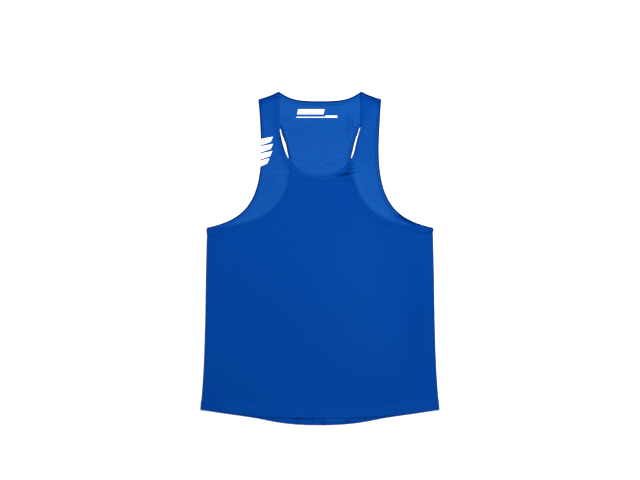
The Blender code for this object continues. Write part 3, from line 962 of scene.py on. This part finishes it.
stitching("neck_stitches", binding_seams(neck_ring))
stitching("armhole_stitches_left", binding_seams(left_ring))
stitching("armhole_stitches_right", binding_seams(armhole_rings["right"]))
stitching("front_hem_stitches", hem_seams(front, front_mid, KNIT / 2 - SUNK_ABOVE))
stitching(
    "back_hem_stitches",
    hem_seams(back, back_mid, SUNK_BELOW - KNIT / 2) + hem_seams(back, back_mid, 2 * HEM_TURN + KNIT / 2),
)


# ---- Prints ----
# Thin films of white transfer ink, heat-pressed onto the finished cloth: slanted bars on the front of the
# right shoulder strap, run off at the armhole, and a bar with a line under it inside the back of the neck.

FILM = 0.00008
PRINT_STEP = 0.0009
GRAINS_PER_METRE = 900
# Pigmented polyurethane film: opaque and almost pure white, with a soft sheen and the grain of the knit in it
white_film, film_tree, film_surface = started("heat_pressed_white_film", {"Roughness": 0.45})
film_place = add(film_tree, "ShaderNodeTexCoord")
grains = {"Vector": film_place.outputs["Object"], "Scale": GRAINS_PER_METRE, "Detail": 2}
film_grain = add(film_tree, "ShaderNodeTexNoise", grains)
film_tint = add(film_tree, "ShaderNodeValToRGB", {"Fac": film_grain.outputs["Fac"]})
film_tint.color_ramp.elements[0].color = linear("ECEFF4")
film_tint.color_ramp.elements[1].color = linear("F8F9FB")
film_tree.links.new(film_tint.outputs["Color"], film_surface.inputs["Base Color"])
pressed = {"Height": film_grain.outputs["Fac"], "Strength": 0.2, "Distance": 0.0001}
film_bump = add(film_tree, "ShaderNodeBump", pressed)
film_tree.links.new(film_bump.outputs[0], film_surface.inputs["Normal"])


PROBE_HEIGHT = 0.05


def faces_of(*pieces):
    """What the prints are pressed onto, ready to be probed from above."""
    points, polygons = [], []
    for piece in pieces:
        first = len(points)
        points += [v.co.copy() for v in piece.data.vertices]
        polygons += [[first + i for i in face.vertices] for face in piece.data.polygons]
    return BVHTree.FromPolygons(points, polygons)


def printed(name, shapes, cloth):
    """Film on the cloth, from shapes of four corners each, in across and down, from the top left round."""
    points, faces = [], []
    for top_left, top_right, low_right, low_left in shapes:
        corners = [np.array(corner) for corner in (top_left, top_right, low_right, low_left)]
        wide = int(np.linalg.norm(corners[1] - corners[0]) / PRINT_STEP) + 2
        tall = int(np.linalg.norm(corners[3] - corners[0]) / PRINT_STEP) + 2
        u, v = np.meshgrid(np.linspace(0, 1, wide), np.linspace(0, 1, tall))
        u, v = u[..., None], v[..., None]
        flat = (corners[0] * (1 - u) + corners[1] * u) * (1 - v) + (corners[3] * (1 - u) + corners[2] * u) * v
        first = len(points)
        for across, down in flat.reshape(-1, 2):
            above = Vector((across, LENGTH / 2 - down, PROBE_HEIGHT))
            hit = cloth.ray_cast(above, Vector((0, 0, -1)))[0]
            points.append((hit.x, hit.y, hit.z + FILM / 2))
        ids = first + np.arange(wide * tall).reshape(tall, wide)
        quads = np.stack([ids[:-1, :-1], ids[1:, :-1], ids[1:, 1:], ids[:-1, 1:]], axis=-1)
        faces += quads.reshape(-1, 4).tolist()
    return shell(name, np.array(points), faces, {}, FILM, white_film)


FILM_END = 0.0004  # how far inside the armhole's edge the film ends


def at_armhole(down):
    """A bar's corner at the right armhole's edge."""
    return FILM_END - np.interp(down, front.armhole[:, 1], front.armhole[:, 0]), down


BAR_TOPS = (0.0980, 0.1135, 0.1290, 0.1445)
BAR_INNER = (-0.1020, -0.1020, -0.1035, -0.1095)
BAR_INNER_HEIGHT = 0.01122
BAR_OUTER_HEIGHT = 0.0132
BAR_SLANT = 0.0048  # how much lower the top of a bar is at the armhole than at its inner end
BAR_LEAN = 0.005  # how much nearer the armhole its lower inner corner is than the upper one
strap_bars = []
for top, inner in zip(BAR_TOPS, BAR_INNER):
    strap_bars.append((
        at_armhole(top + BAR_SLANT), (inner, top),
        (inner - BAR_LEAN, top + BAR_INNER_HEIGHT), at_armhole(top + BAR_SLANT + BAR_OUTER_HEIGHT),
    ))
strap_cloth = faces_of(front_cloth, bpy.data.objects["armhole_binding_right_cloth"])
strap_print = printed("strap_print", strap_bars, strap_cloth)
neck_print = printed(
    "neck_print",
    [
        ((-0.0472, 0.0384), (0.0098, 0.0384), (0.0073, 0.0494), (-0.0497, 0.0494)),
        ((-0.0515, 0.0548), (0.0110, 0.0548), (0.0110, 0.0566), (-0.0515, 0.0566)),
        ((0.0115, 0.0522), (0.0375, 0.0522), (0.0375, 0.0566), (0.0115, 0.0566)),
    ],
    faces_of(back_cloth),
)
for piece in (strap_print, neck_print):
    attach(piece, "root")


# ---- Floor, light and camera ----
# A plain white studio surface, lit by a large soft light above and to the upper right and by an even white
# surround, and looked at from straight above.

FLOOR_SIZE = 4.0
bpy.ops.mesh.primitive_plane_add(size=FLOOR_SIZE, location=(0, 0, 0))
floor = bpy.context.object
floor.name = "floor"
paper_finish = {"Base Color": linear("FCFCFC"), "Roughness": 0.9, "Specular IOR Level": 0.1}
floor.data.materials.append(started("white_studio_paper", paper_finish)[0])

lamp = bpy.data.lights.new("soft_box", "AREA")
lamp.shape = "RECTANGLE"
lamp.size, lamp.size_y = 1.6, 1.2
lamp.energy = 75
soft_box = put("soft_box", lamp)
soft_box.location = (0.8, 1.3, 1.6)
soft_box.rotation_euler = (Vector((0, 0, 0)) - soft_box.location).to_track_quat("-Z", "Y").to_euler()

surround = bpy.data.worlds.new("studio")
surround.use_nodes = True
surround.node_tree.nodes["Background"].inputs["Color"].default_value = (1, 1, 1, 1)
surround.node_tree.nodes["Background"].inputs["Strength"].default_value = 0.72
bpy.context.scene.world = surround
bpy.context.scene.view_settings.view_transform = "Standard"

CAMERA_HEIGHT = 3.856
CAMERA_AIM = 0.0397  # how far towards the neck the camera stands from the middle of the garment
lens = bpy.data.cameras.new("camera")
lens.lens, lens.sensor_width = 100, 36
camera = put("camera", lens)
camera.location = (0, CAMERA_AIM, CAMERA_HEIGHT)
bpy.context.scene.camera = camera
